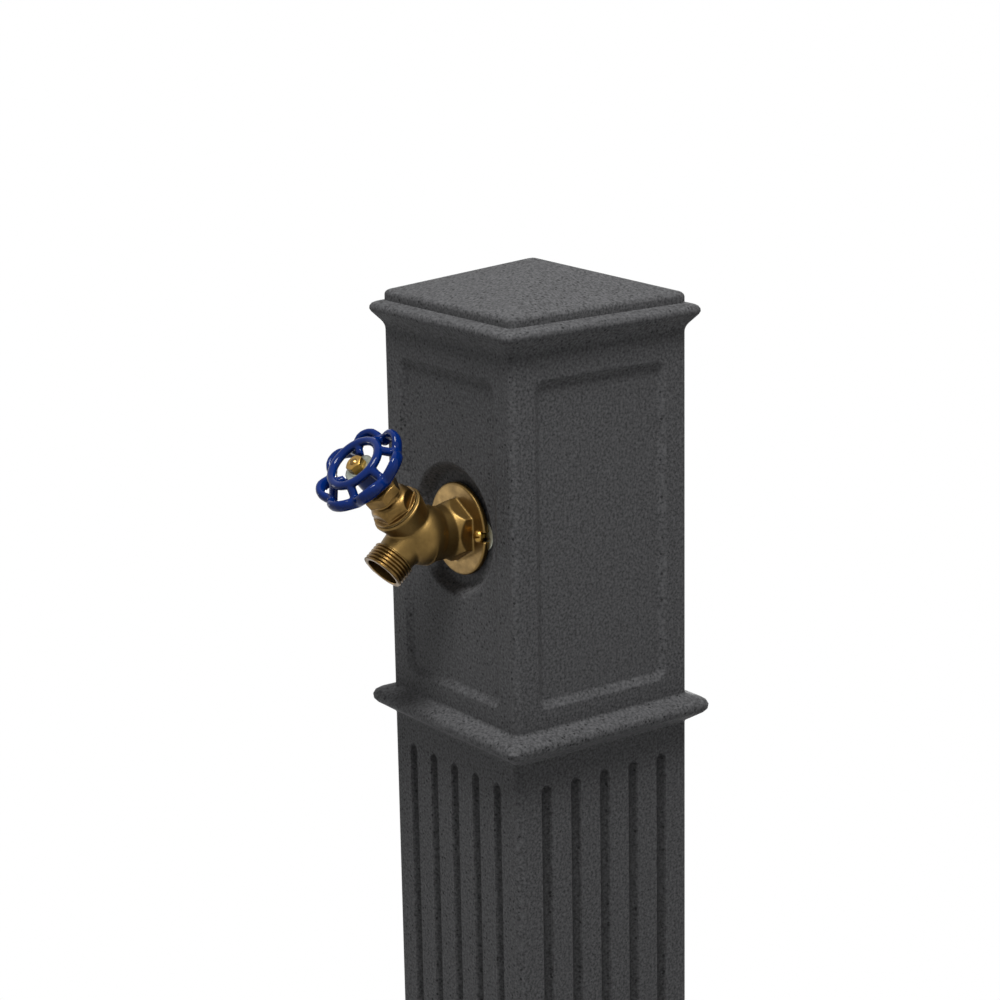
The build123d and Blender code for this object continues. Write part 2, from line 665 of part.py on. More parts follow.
def make_flange_screws():
    shank_tip = pad_face - FLANGE_NUT_THICKNESS - SCREW_TAIL
    screw = rod(SCREW_RADIUS, shank_tip, flange_front) + dome(SCREW_HEAD_RADIUS, SCREW_HEAD_HEIGHT, flange_front)
    return Compound([(inlet * Pos(x, 0, 0) * screw).solid() for x in screw_places()])


def make_flange_washers():
    washer = tube(FLANGE_WASHER_RADIUS, SCREW_RADIUS + SLIP, recess_floor, flange_back)
    washer -= rod(SHANK_RADIUS + SLIP, recess_floor - PAST, flange_back + PAST).moved(Pos(SCREW_SPACING / 2, 0, 0))
    right = inlet * Pos(SCREW_SPACING / 2, 0, 0) * Rot(0, 0, 180) * washer
    left = inlet * Pos(-SCREW_SPACING / 2, 0, 0) * washer
    return Compound([left.solid(), right.solid()])


def make_flange_nuts():
    nut = hex_blank(FLANGE_NUT_RADIUS, pad_face - FLANGE_NUT_THICKNESS, pad_face, FLANGE_NUT_CHAMFER)
    nut -= rod(SCREW_RADIUS + FIT, pad_face - FLANGE_NUT_THICKNESS - PAST, pad_face + PAST)
    return Compound([(inlet * Pos(x, 0, 0) * nut).solid() for x in screw_places()])


def quarter_bend(radius, length):
    """Solid round bend in the plane of the tap, a straight leg of the given length at either end."""
    centre = (0, -ELBOW_BEND, -ELBOW_BEND)
    pivot = Axis(centre, (1, 0, 0))
    bend = revolve(Plane(origin=(0, 0, -ELBOW_BEND), x_dir=(1, 0, 0), z_dir=(0, 0, 1)) * Circle(radius), pivot, 90)
    leg = rod(radius, ELBOW_BEND, length)
    return bend + Rot(90, 0, 0) * leg + Rot(180, 0, 0) * leg


def elbow_mouth_band():
    """Thicker band round each mouth of the elbow, with a sloping shoulder."""
    start = ELBOW_REACH - ELBOW_BAND
    band = rod(ELBOW_BAND_RADIUS, start, ELBOW_REACH)
    band += taper(ELBOW_BODY_RADIUS, ELBOW_BAND_RADIUS, start - ELBOW_BAND / 2, start)
    return band


def make_riser_elbow():
    forward = Rot(90, 0, 0)
    down = Rot(180, 0, 0)
    elbow = quarter_bend(ELBOW_BODY_RADIUS, ELBOW_REACH)
    elbow += [forward * elbow_mouth_band(), down * elbow_mouth_band()]
    socket = rod(PIPE_RADIUS + FIT, ELBOW_REACH - PIPE_ENGAGED, ELBOW_REACH + PAST)
    elbow -= [quarter_bend(PIPE_BORE, ELBOW_REACH), forward * socket, down * socket]
    return Pos(0, -riser_out, tap_height) * elbow


def make_riser_pipe():
    return Pos(0, -riser_out, 0) * tube(PIPE_RADIUS, PIPE_BORE, riser_bottom, riser_top)


def make_inlet_coupling():
    coupling = rod(COUPLING_RADIUS, COUPLING_ABOVE_GROUND, coupling_top)
    coupling -= rod(PIPE_BORE, COUPLING_ABOVE_GROUND, coupling_top)
    coupling -= rod(PIPE_RADIUS + FIT, riser_bottom, coupling_top + PAST)
    thread_end = COUPLING_ABOVE_GROUND + INLET_THREAD_LENGTH
    coupling -= rod(INLET_THREAD_RADIUS, COUPLING_ABOVE_GROUND - PAST, thread_end)
    return Pos(0, -riser_out, 0) * coupling


def make_pipe_spacer(height):
    """Cross that centres the pipe between the four walls of the post."""
    reach = cavity_half - SLIP
    ring = PIPE_RADIUS + SLIP + SPACER_RING
    arms = Box(SPACER_ARM, 2 * reach, SPACER_HEIGHT, align=BASE)
    arms += Pos(0, -riser_out, 0) * Box(2 * reach, SPACER_ARM, SPACER_HEIGHT, align=BASE)
    shoe_middle = reach - SPACER_SHOE / 2
    for side in (-1, 1):
        shoe = Box(SPACER_SHOE_WIDTH, SPACER_SHOE, SPACER_HEIGHT, align=BASE)
        arms += Pos(0, side * shoe_middle, 0) * shoe
        arms += Pos(side * shoe_middle, -riser_out, 0) * Rot(0, 0, 90) * shoe
    spacer = arms + Pos(0, -riser_out, 0) * rod(ring, 0, SPACER_HEIGHT)
    spacer -= Pos(0, -riser_out, 0) * rod(PIPE_RADIUS + SLIP, -PAST, SPACER_HEIGHT + PAST)
    return Pos(0, 0, height) * spacer


def write_parts():
    parts = {
        "post_shell": make_post_shell(),
        "tap_body": make_tap_body(),
        "valve_seat": make_valve_seat(),
        "seat_washer": make_seat_washer(),
        "seat_washer_screw": make_washer_screw(),
        "stem": make_stem(),
        "bonnet": make_bonnet(),
        "bonnet_gasket": make_bonnet_gasket(),
        "stem_packing": make_stem_packing(),
        "packing_follower": make_packing_follower(),
        "packing_nut": make_packing_nut(),
        "handwheel": make_handwheel(),
        "wheel_disc": make_wheel_disc(),
        "wheel_nut": make_wheel_nut(),
        "flange_screws": make_flange_screws(),
        "flange_washers": make_flange_washers(),
        "flange_nuts": make_flange_nuts(),
        "riser_elbow": make_riser_elbow(),
        "riser_pipe": make_riser_pipe(),
        "inlet_coupling": make_inlet_coupling(),
        "upper_pipe_spacer": make_pipe_spacer(UPPER_SPACER_HEIGHT),
        "lower_pipe_spacer": make_pipe_spacer(LOWER_SPACER_HEIGHT),
    }
    os.makedirs("parts", exist_ok=True)
    for name, solid in parts.items():
        export_step(solid, f"parts/{name}.step")


write_parts()
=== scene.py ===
"""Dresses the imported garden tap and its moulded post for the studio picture."""

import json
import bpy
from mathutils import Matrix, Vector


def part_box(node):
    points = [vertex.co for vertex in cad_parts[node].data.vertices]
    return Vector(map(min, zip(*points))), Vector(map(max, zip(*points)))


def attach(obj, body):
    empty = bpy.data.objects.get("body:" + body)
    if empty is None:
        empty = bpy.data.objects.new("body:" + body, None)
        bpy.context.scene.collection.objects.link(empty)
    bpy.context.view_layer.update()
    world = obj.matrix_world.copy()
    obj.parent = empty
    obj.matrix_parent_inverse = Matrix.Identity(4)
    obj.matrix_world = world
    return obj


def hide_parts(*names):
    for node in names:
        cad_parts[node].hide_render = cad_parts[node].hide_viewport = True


bl_info = {
    "name": "Garden tap on a moulded post",
    "version": (1, 0, 0),
    "blender": (4, 5, 0),
    "location": "3D View > Sidebar > Garden Tap",
    "description": "Castings, thread, enamel and moulded plastic of a garden tap on its post",
    "category": "Object",
}

from math import cos, pi, radians, sin

import bpy
from bpy.props import FloatProperty, FloatVectorProperty, IntProperty, PointerProperty
from mathutils import Matrix, Vector

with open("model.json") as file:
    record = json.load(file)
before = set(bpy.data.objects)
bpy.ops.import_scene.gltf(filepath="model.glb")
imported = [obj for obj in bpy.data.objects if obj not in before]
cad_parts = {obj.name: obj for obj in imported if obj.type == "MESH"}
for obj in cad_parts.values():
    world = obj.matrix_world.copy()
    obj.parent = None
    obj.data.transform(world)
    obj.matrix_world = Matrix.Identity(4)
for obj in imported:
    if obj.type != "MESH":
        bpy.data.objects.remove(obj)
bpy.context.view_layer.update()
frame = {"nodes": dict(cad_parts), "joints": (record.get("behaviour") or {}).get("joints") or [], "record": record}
MM = 0.001
WHITE = (1.0, 1.0, 1.0, 1.0)

# Points of a mesh that are closer than this are one point, and faces that turn less are one flat
WELD = 0.002 * MM
TURNED_WELD = 0.001 * MM
FLAT_ANGLE = radians(2.0)

# Steps round a turned piece, round a screw, and up the dome of a screw's head
ROUND_STEPS = 96
SCREW_STEPS = 48
HEAD_STEPS = 10

# Hose thread: each corner of its profile is on the crest or not, at a share of the pitch
THREAD_PROFILE = ((False, 0), (False, 0.2), (True, 0.45), (True, 0.65), (False, 1))
THREAD_ANGLE = radians(30)

# How far the casting is left inside the hose thread's piece, in millimetres
THREAD_LAP = 0.7

# Flat end of the spout: an extra ring of corners in from the crest, and the step back at the root
END_RING = 1.2 * MM
END_STEP = 0.02 * MM

# Brass nuts: CAD node, body, cells of the skin, and how often it is smoothed
NUTS = (
    ("bonnet", "post", 0.32 * MM, 3),
    ("packing_nut", "post", 0.25 * MM, 4),
    ("wheel_nut", "spindle", 0.2 * MM, 2),
    ("flange_nuts", "post", 0.25 * MM, 2),
)

# Brass pieces, almost all hidden, that keep the mesh of their CAD node
PLAIN_BRASS = ("valve_seat", "seat_washer_screw", "stem", "packing_follower")

# Width of the broken edges of the plated washers and disc
PLATE_EDGE = 0.2 * MM

# Soft lamps: name, place, sides and power in watts
LAMPS = (
    ("overhead_softbox", (0.55, -0.42, 2.3), (0.6, 0.6), 46),
    ("right_softbox", (2.1, 0.5, 1.5), (0.5, 1.0), 1.5),
    ("left_softbox", (-2.0, -1.35, 0.15), (0.4, 0.4), 4),
    ("rear_softbox", (-1.5, 1.7, 0.7), (0.9, 0.9), 14),
)
LAMP_TARGET = (0, -0.05, 0.75)
WORLD_LIGHT = 0.2

# Share of the shadow's reach at which the floor starts to fade to plain white
FADE_START = 0.45

# The camera that fits the square post in the photograph
CAMERA_PLACE = (1.24256, -0.92405, 1.16114)
CAMERA_YAW = radians(54.196)
CAMERA_PITCH = radians(14.405)
CAMERA_ROLL = radians(1.066)
FOCAL_PIXELS = 2574.8
PICTURE_PIXELS = 1000
SENSOR = 36.0


# Places taken from the frame
def joint(name):
    return next(j for j in frame["joints"] if j["name"] == name)


def mount(name):
    return next(m for m in frame["record"]["mounts"] if m["name"] == name)


def along(axis):
    """Turns +Z to the given direction and keeps X level."""
    z = Vector(axis).normalized()
    x = Vector((1, 0, 0))
    y = z.cross(x).normalized()
    return Matrix((x, y, z)).transposed().to_4x4()


def spout_place():
    """Frame at the mouth of the spout, Z out along the hose thread."""
    hose = mount("hose_outlet")
    mouth = Vector(hose["pos_m"]) + Vector(hose["axis"]) * hose["dims"]["length_mm"] * MM / 2
    return Matrix.Translation(mouth) @ along(hose["axis"])


def inlet_place():
    """Frame on the level axis of the tap's inlet, Z towards the front."""
    turn = joint("handwheel_turn")
    return Matrix.Translation((0, 0, turn["pos_m"][2])) @ along((0, -1, 0))


# Sizes and colours
def linear(code):
    """sRGB hex to linear RGBA."""
    values = [int(code[k : k + 2], 16) / 255 for k in (1, 3, 5)]
    return [v / 12.92 if v <= 0.04045 else ((v + 0.055) / 1.055) ** 2.4 for v in values] + [1.0]


def shade(colour, factor):
    """The same colour, lighter or darker."""
    return [c * factor for c in colour[:3]] + [1.0]


class PostSettings(bpy.types.PropertyGroup):
    resin: FloatVectorProperty(
        name="Resin",
        description="Ground colour of the moulded post",
        subtype="COLOR",
        size=4,
        default=linear("#454546"),
    )
    fleck: FloatVectorProperty(
        name="Flecks",
        description="Colour of the dark flecks",
        subtype="COLOR",
        size=4,
        default=linear("#0a0a0a"),
    )
    fleck_size: FloatProperty(
        name="Fleck size",
        description="Half width of the largest flecks",
        unit="LENGTH",
        default=1.0 * MM,
    )
    fleck_spacing: FloatProperty(
        name="Fleck spacing",
        description="Distance between neighbouring flecks",
        unit="LENGTH",
        default=2.6 * MM,
    )
    fleck_strength: FloatProperty(
        name="Fleck strength",
        description="How much a fleck hides the ground colour",
        subtype="FACTOR",
        default=0.7,
    )
    grain: FloatProperty(
        name="Grain", description="Width of the grain of the mould", unit="LENGTH", default=0.9 * MM
    )
    edge: FloatProperty(
        name="Edge",
        description="Radius that the mould leaves on an edge",
        unit="LENGTH",
        default=1.2 * MM,
    )
    # The face, corners and flute zone say where the flutes are, for the painted shade that darkens them
    face: FloatProperty(
        name="Face",
        description="From the axis to the faces of the body",
        unit="LENGTH",
        default=66.5 * MM,
    )
    # Painted shade in the flutes: the depth below the face at which it starts
    painted_shade_start: FloatProperty(
        name="Face margin",
        description="Depth at which the darker tone starts",
        unit="LENGTH",
        default=0.3 * MM,
    )
    # Painted shade in the flutes: the depth at which it is full
    painted_shade_full: FloatProperty(
        name="Flute depth",
        description="Depth at which the flutes are darkest",
        unit="LENGTH",
        default=1.8 * MM,
    )
    corner: FloatProperty(
        name="Corner",
        description="From the axis to where the plain corners start",
        unit="LENGTH",
        default=55 * MM,
    )
    flute_zone: FloatProperty(
        name="Flute zone",
        description="Height below which there are flutes",
        unit="LENGTH",
        default=0.625,
    )
    # Share of the ground colour that the painted shade leaves in the flutes
    painted_shade_share: FloatProperty(
        name="Flute tone",
        description="Share of the ground colour left in the flutes",
        subtype="FACTOR",
        default=0.55,
    )


class CastingSettings(bpy.types.PropertyGroup):
    brass: FloatVectorProperty(
        name="Brass",
        description="Colour of the cast brass",
        subtype="COLOR",
        size=4,
        default=linear("#7c643a"),
    )
    skin: FloatProperty(
        name="Skin",
        description="Size of the cells that round the casting",
        unit="LENGTH",
        default=0.58 * MM,
    )
    rounding: IntProperty(
        name="Rounding",
        description="How far the casting's corners are rounded",
        default=6,
    )
    grain: FloatProperty(
        name="Sand grain",
        description="Grain of the mould sand",
        unit="LENGTH",
        default=0.5 * MM,
    )


class ThreadSettings(bpy.types.PropertyGroup):
    pitch: FloatProperty(
        name="Pitch",
        description="Distance between crests of the hose thread",
        unit="LENGTH",
        default=2.2 * MM,
    )
    depth: FloatProperty(name="Depth", description="Crest to root", unit="LENGTH", default=1.3 * MM)
    mouth: FloatProperty(
        name="Mouth",
        description="Radius of the spout's mouth",
        unit="LENGTH",
        default=10.6 * MM,
    )
    mouth_depth: FloatProperty(
        name="Mouth depth",
        description="How deep the mouth is bored out",
        unit="LENGTH",
        default=9 * MM,
    )
    throat: FloatProperty(
        name="Throat",
        description="Radius of the waterway behind the mouth",
        unit="LENGTH",
        default=9 * MM,
    )
    lip: FloatProperty(
        name="Lip",
        description="Chamfer at the outside of the mouth's end",
        unit="LENGTH",
        default=0.55 * MM,
    )
    mouth_chamfer: FloatProperty(
        name="Mouth chamfer",
        description="Chamfer at the inside of the mouth's end",
        unit="LENGTH",
        default=0.4 * MM,
    )
    brass: FloatVectorProperty(
        name="Brass",
        description="Colour of cut brass",
        subtype="COLOR",
        size=4,
        default=linear("#7a6036"),
    )


class ScrewSettings(bpy.types.PropertyGroup):
    head_height: FloatProperty(
        name="Head height", description="Height of the round heads", unit="LENGTH", default=3.2 * MM
    )
    shank: FloatProperty(
        name="Shank",
        description="Radius of the shanks",
        unit="LENGTH",
        default=2.4 * MM,
    )
    slot_width: FloatProperty(
        name="Slot width", description="Width of the driver slot", unit="LENGTH", default=1.1 * MM
    )
    slot_depth: FloatProperty(
        name="Slot depth", description="Depth of the driver slot", unit="LENGTH", default=1.5 * MM
    )
    slot_turn: FloatProperty(
        name="Slot turn",
        description="How far the slots are from level",
        subtype="ANGLE",
        default=0.14,
    )
    edge: FloatProperty(
        name="Edge",
        description="Width of the broken edges",
        unit="LENGTH",
        default=0.12 * MM,
    )
    # Lighter than the turned brass: painted light, so that the screw heads and the wheel nut look lit all over
    brass: FloatVectorProperty(
        name="Brass",
        description="Colour of bright, new brass",
        subtype="COLOR",
        size=4,
        default=linear("#a98645"),
    )


class WheelSettings(bpy.types.PropertyGroup):
    enamel: FloatVectorProperty(
        name="Enamel",
        description="Colour of the handwheel",
        subtype="COLOR",
        size=4,
        default=linear("#021e58"),
    )
    skin: FloatProperty(
        name="Skin",
        description="Size of the cells that round the casting",
        unit="LENGTH",
        default=0.4 * MM,
    )
    rounding: IntProperty(
        name="Rounding",
        description="How far the enamel rounds the corners",
        default=16,
    )


class StageSettings(bpy.types.PropertyGroup):
    floor_size: FloatProperty(
        name="Floor",
        description="Side of the floor",
        unit="LENGTH",
        default=60.0,
    )
    shadow_reach: FloatProperty(
        name="Shadow reach",
        description="How far from the foot the floor shows shadow",
        unit="LENGTH",
        default=0.75,
    )


# Helpers for meshes
def nothing_selected():
    """Leaves edit mode and deselects every object."""
    if bpy.context.object and bpy.context.object.mode != "OBJECT":
        bpy.ops.object.mode_set(mode="OBJECT")
    bpy.ops.object.select_all(action="DESELECT")


def pick(piece):
    """Selects the piece alone and makes it the active one."""
    nothing_selected()
    piece.select_set(True)
    bpy.context.view_layer.objects.active = piece


def edit(piece):
    """Opens the piece in edit mode with all of it selected."""
    pick(piece)
    bpy.ops.object.mode_set(mode="EDIT")
    bpy.ops.mesh.select_mode(type="VERT")
    bpy.ops.mesh.select_all(action="SELECT")


def copy_of(node, name):
    """Copy of a CAD node's mesh, its loose triangles joined."""
    piece = bpy.data.objects.new(name, frame["nodes"][node].data.copy())
    piece.data.name = name
    bpy.context.scene.collection.objects.link(piece)
    piece.data.materials.clear()
    edit(piece)
    bpy.ops.mesh.remove_doubles(threshold=WELD)
    bpy.ops.object.mode_set(mode="OBJECT")
    bpy.ops.mesh.customdata_custom_splitnormals_clear()
    return piece


def finish(piece, kind, name, **settings):
    """Adds a modifier with its settings and applies it."""
    pick(piece)
    modifier = piece.modifiers.new(name, kind)
    for key, value in settings.items():
        setattr(modifier, key, value)
    bpy.ops.object.modifier_apply(modifier=modifier.name)


def round_casting(piece, skin, rounding):
    """Rounds every corner as in a casting: the piece gets one even skin, which is then smoothed."""
    finish(piece, "REMESH", "skin", mode="VOXEL", voxel_size=skin, adaptivity=0.0)
    finish(piece, "SMOOTH", "rounding", factor=0.5, iterations=rounding)
    pick(piece)
    bpy.ops.object.shade_smooth()


def broken_edges(piece, width, angle=28, segments=2):
    """Makes the flats of a piece whole and breaks its sharp edges."""
    edit(piece)
    bpy.ops.mesh.dissolve_limited(angle_limit=FLAT_ANGLE)
    bpy.ops.object.mode_set(mode="OBJECT")
    finish(
        piece,
        "BEVEL",
        "broken edges",
        width=width,
        segments=segments,
        limit_method="ANGLE",
        angle_limit=radians(angle),
        use_clamp_overlap=True,
        harden_normals=False,
    )
    pick(piece)
    bpy.ops.object.shade_smooth_by_angle(angle=radians(angle))


def drawn_line(name, points):
    """A line of edges: one point of a small plane, pushed on from place to place."""
    nothing_selected()
    bpy.ops.mesh.primitive_plane_add(size=MM, location=(0, 0, 0))
    piece = bpy.context.object
    piece.name = name
    piece.data.name = name
    edit(piece)
    bpy.ops.mesh.merge(type="CENTER")
    bpy.ops.transform.translate(value=points[0])
    for start, end in zip(points, points[1:]):
        step = Vector(end) - Vector(start)
        bpy.ops.mesh.extrude_region_move(TRANSFORM_OT_translate={"value": step})
    bpy.ops.object.mode_set(mode="OBJECT")
    return piece


def turned(name, outline, steps=ROUND_STEPS):
    """A turned piece: an outline of (radius, height) pairs spun round Z."""
    piece = drawn_line(name, [(r, 0, h) for r, h in outline])
    edit(piece)
    bpy.ops.mesh.spin(steps=steps, angle=2 * pi, center=(0, 0, 0), axis=(0, 0, 1))
    bpy.ops.mesh.select_all(action="SELECT")
    bpy.ops.mesh.remove_doubles(threshold=TURNED_WELD)
    bpy.ops.mesh.normals_make_consistent(inside=False)
    bpy.ops.object.mode_set(mode="OBJECT")
    return piece


def settle(piece, place, body, slot, material, *nodes):
    """Puts a finished piece at its place, on its body, in place of the CAD nodes it stands for."""
    piece.data.transform(place)
    piece.data.materials.clear()
    piece.data.materials.append(material)
    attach(piece, body)
    if nodes:
        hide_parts(*nodes)


def coat(node, material):
    """Gives a CAD node that stays its material."""
    data = frame["nodes"][node].data
    if not data.materials:
        data.materials.append(material)
    for k in range(len(data.materials)):
        data.materials[k] = material


# Helpers for materials
def put(tree, kind, settings=(), inputs=(), links=(), stops=()):
    """Adds a node with its settings, input values and links."""
    made = tree.nodes.new(kind)
    for name, value in dict(settings).items():
        setattr(made, name, value)
    for name, value in dict(inputs).items():
        made.inputs[name].default_value = value
    for name, socket in dict(links).items():
        tree.links.new(socket, made.inputs[name])
    for k, (place, colour) in enumerate(stops):
        elements = made.color_ramp.elements
        element = elements[k] if k < 2 else elements.new(place)
        element.position = place
        element.color = colour
    return made


def new_material(name, **shader):
    """A material with its Principled shader; returns the material, its tree and the shader."""
    material = bpy.data.materials.new(name)
    material.use_nodes = True
    tree = material.node_tree
    tree.nodes.clear()
    surface = put(tree, "ShaderNodeBsdfPrincipled", inputs=shader)
    put(tree, "ShaderNodeOutputMaterial", links={"Surface": surface.outputs["BSDF"]})
    return material, tree, surface


def painted_flute_shade(tree, place, settings):
    """Painted shade in the flutes: the share of the colour that is left, less inside the flutes, which would be
    too pale without it.

    The depth below a face comes from the larger of |x| and |y|. The smaller of the two leaves out
    the rounded corners of the body, and the height leaves out what has no flutes.
    """
    axes = put(tree, "ShaderNodeSeparateXYZ", links={"Vector": place})
    away = [
        put(
            tree,
            "ShaderNodeMath",
            settings={"operation": "ABSOLUTE"},
            links={0: axes.outputs[name]},
        ).outputs["Value"]
        for name in "XY"
    ]
    out = put(
        tree,
        "ShaderNodeMath",
        settings={"operation": "MAXIMUM"},
        links={0: away[0], 1: away[1]},
    )
    depth = put(
        tree,
        "ShaderNodeMapRange",
        inputs={
            "From Min": settings.face - settings.painted_shade_full,
            "From Max": settings.face - settings.painted_shade_start,
            "To Min": settings.painted_shade_share,
            "To Max": 1.0,
        },
        links={"Value": out.outputs["Value"]},
    )
    inner = put(
        tree,
        "ShaderNodeMath",
        settings={"operation": "MINIMUM"},
        links={0: away[0], 1: away[1]},
    )
    share = depth.outputs["Result"]
    limits = (
        (axes.outputs["Z"], settings.flute_zone),
        (inner.outputs["Value"], settings.corner),
    )
    for socket, limit in limits:
        plain = put(
            tree,
            "ShaderNodeMath",
            settings={"operation": "GREATER_THAN"},
            inputs={1: limit},
            links={0: socket},
        )
        share = put(
            tree,
            "ShaderNodeMath",
            settings={"operation": "MAXIMUM"},
            links={0: share, 1: plain.outputs["Value"]},
        ).outputs["Value"]
    return share


def speckled_resin(settings):
    """Rotationally moulded polyethylene with granite flecks: matt and dark, the flecks darker."""
    material, tree, surface = new_material(
        "speckled_polyethylene", **{"Roughness": 0.6, "IOR": 1.51, "Specular IOR Level": 0.06}
    )
    place = put(tree, "ShaderNodeTexCoord").outputs["Object"]
    # One fleck to a cell, its size by chance: about a third of the cells have almost none
    cells = put(
        tree,
        "ShaderNodeTexVoronoi",
        inputs={"Scale": 1 / settings.fleck_spacing},
        links={"Vector": place},
    )
    chance = put(tree, "ShaderNodeSeparateColor", links={"Color": cells.outputs["Color"]})
    reach = put(
        tree,
        "ShaderNodeMapRange",
        inputs={
            "From Min": 0.35,
            "From Max": 1.0,
            "To Min": 0.0,
            "To Max": settings.fleck_size / settings.fleck_spacing,
        },
        links={"Value": chance.outputs["Red"]},
    )
    inside = put(
        tree,
        "ShaderNodeMath",
        settings={"operation": "SUBTRACT"},
        links={0: reach.outputs["Result"], 1: cells.outputs["Distance"]},
    )
    fleck = put(
        tree,
        "ShaderNodeMapRange",
        inputs={
            "From Min": -0.06,
            "From Max": 0.14,
            "To Min": 0.0,
            "To Max": settings.fleck_strength,
        },
        links={"Value": inside.outputs["Value"]},
    )
    # Mottle of the ground between the flecks, from half as light to half as light again. Its
    # patches of 1.7 mm are coarser than the powder that the post is moulded from, so that they show
    fine = put(
        tree,
        "ShaderNodeTexNoise",
        inputs={"Scale": 0.6 / settings.fleck_size, "Detail": 1.5, "Roughness": 0.6},
        links={"Vector": place},
    )
    mottle = put(
        tree,
        "ShaderNodeMapRange",
        inputs={"From Min": 0.28, "From Max": 0.72},
        links={"Value": fine.outputs["Fac"]},
    )
    clouds = put(
        tree,
        "ShaderNodeMix",
        settings={"data_type": "RGBA"},
        inputs={"A": shade(settings.resin, 0.52), "B": shade(settings.resin, 1.52)},
        links={"Factor": mottle.outputs["Result"]},
    )
    colour = put(
        tree,
        "ShaderNodeMix",
        settings={"data_type": "RGBA"},
        inputs={"B": settings.fleck[:]},
        links={"Factor": fleck.outputs["Result"], "A": clouds.outputs["Result"]},
    )
    # The whole, with painted shade that darkens it inside the flutes
    flute_shaded = put(
        tree,
        "ShaderNodeVectorMath",
        settings={"operation": "SCALE"},
        links={0: colour.outputs["Result"], "Scale": painted_flute_shade(tree, place, settings)},
    )
    tree.links.new(flute_shaded.outputs["Vector"], surface.inputs["Base Color"])
    # Grain of the mould
    grain = put(
        tree,
        "ShaderNodeTexNoise",
        inputs={"Scale": 0.8 / settings.grain, "Detail": 3.0, "Roughness": 0.6},
        links={"Vector": place},
    )
    bump = put(
        tree,
        "ShaderNodeBump",
        inputs={"Strength": 0.25, "Distance": 0.12 * MM},
        links={"Height": grain.outputs["Fac"]},
    )
    tree.links.new(bump.outputs["Normal"], surface.inputs["Normal"])
    return material


def cast_brass(settings):
    """Sand-cast brass, fettled and tumbled: olive gold, darker and duller where it is tarnished."""
    material, tree, surface = new_material("sand_cast_brass", **{"Metallic": 1.0})
    place = put(tree, "ShaderNodeTexCoord").outputs["Object"]
    # Tarnish in clouds of about 13 mm
    tarnish = put(
        tree,
        "ShaderNodeTexNoise",
        inputs={"Scale": 75.0, "Detail": 6.0, "Roughness": 0.6},
        links={"Vector": place},
    )
    tone = put(
        tree,
        "ShaderNodeValToRGB",
        links={"Fac": tarnish.outputs["Fac"]},
        stops=[(0.3, shade(settings.brass, 0.6)), (0.66, settings.brass[:])],
    )
    tree.links.new(tone.outputs["Color"], surface.inputs["Base Color"])
    dull = put(
        tree,
        "ShaderNodeMapRange",
        inputs={"From Min": 0.3, "From Max": 0.7, "To Min": 0.52, "To Max": 0.36},
        links={"Value": tarnish.outputs["Fac"]},
    )
    tree.links.new(dull.outputs["Result"], surface.inputs["Roughness"])
    # Grain of the sand
    grain = put(
        tree,
        "ShaderNodeTexNoise",
        inputs={"Scale": 0.6 / settings.grain, "Detail": 4.0, "Roughness": 0.6},
        links={"Vector": place},
    )
    bump = put(
        tree,
        "ShaderNodeBump",
        inputs={"Strength": 0.35, "Distance": 0.12 * MM},
        links={"Height": grain.outputs["Fac"]},
    )
    tree.links.new(bump.outputs["Normal"], surface.inputs["Normal"])
    return material


def turned_brass(name, brass):
    """Free-cutting brass from the lathe: smoother than the casting, so that it shines more."""
    material, tree, surface = new_material(name, **{"Metallic": 1.0})
    place = put(tree, "ShaderNodeTexCoord").outputs["Object"]
    # Stains of about 6 mm
    stain = put(
        tree,
        "ShaderNodeTexNoise",
        inputs={"Scale": 160.0, "Detail": 5.0, "Roughness": 0.6},
        links={"Vector": place},
    )
    tone = put(
        tree,
        "ShaderNodeValToRGB",
        links={"Fac": stain.outputs["Fac"]},
        stops=[(0.32, shade(brass, 0.62)), (0.62, brass[:])],
    )
    tree.links.new(tone.outputs["Color"], surface.inputs["Base Color"])
    wear = put(
        tree,
        "ShaderNodeMapRange",
        inputs={"From Min": 0.3, "From Max": 0.7, "To Min": 0.42, "To Max": 0.27},
        links={"Value": stain.outputs["Fac"]},
    )
    tree.links.new(wear.outputs["Result"], surface.inputs["Roughness"])
    # Tool marks, 0.4 mm apart so that they show
    marks = put(
        tree, "ShaderNodeTexNoise", inputs={"Scale": 2400.0, "Detail": 2.0}, links={"Vector": place}
    )
    bump = put(
        tree,
        "ShaderNodeBump",
        inputs={"Strength": 0.2, "Distance": 0.03 * MM},
        links={"Height": marks.outputs["Fac"]},
    )
    tree.links.new(bump.outputs["Normal"], surface.inputs["Normal"])
    return material


def blue_enamel(settings):
    """Dipped enamel on cast iron: deep blue, wet gloss, slightly wavy over the casting."""
    material, tree, surface = new_material(
        "dipped_blue_enamel",
        **{"Roughness": 0.06, "IOR": 1.38, "Specular IOR Level": 0.2},
    )
    place = put(tree, "ShaderNodeTexCoord").outputs["Object"]
    # The enamel pools in patches of about 11 mm
    pooled = put(
        tree, "ShaderNodeTexNoise", inputs={"Scale": 90.0, "Detail": 3.0}, links={"Vector": place}
    )
    tone = put(
        tree,
        "ShaderNodeMix",
        settings={"data_type": "RGBA"},
        inputs={"A": shade(settings.enamel, 0.7), "B": shade(settings.enamel, 1.2)},
        links={"Factor": pooled.outputs["Fac"]},
    )
    tree.links.new(tone.outputs["Result"], surface.inputs["Base Color"])
    # Waves of about 4 mm, from the casting under it
    waves = put(
        tree, "ShaderNodeTexNoise", inputs={"Scale": 260.0, "Detail": 2.0}, links={"Vector": place}
    )
    bump = put(
        tree,
        "ShaderNodeBump",
        inputs={"Strength": 0.3, "Distance": 0.2 * MM},
        links={"Height": waves.outputs["Fac"]},
    )
    tree.links.new(bump.outputs["Normal"], surface.inputs["Normal"])
    return material


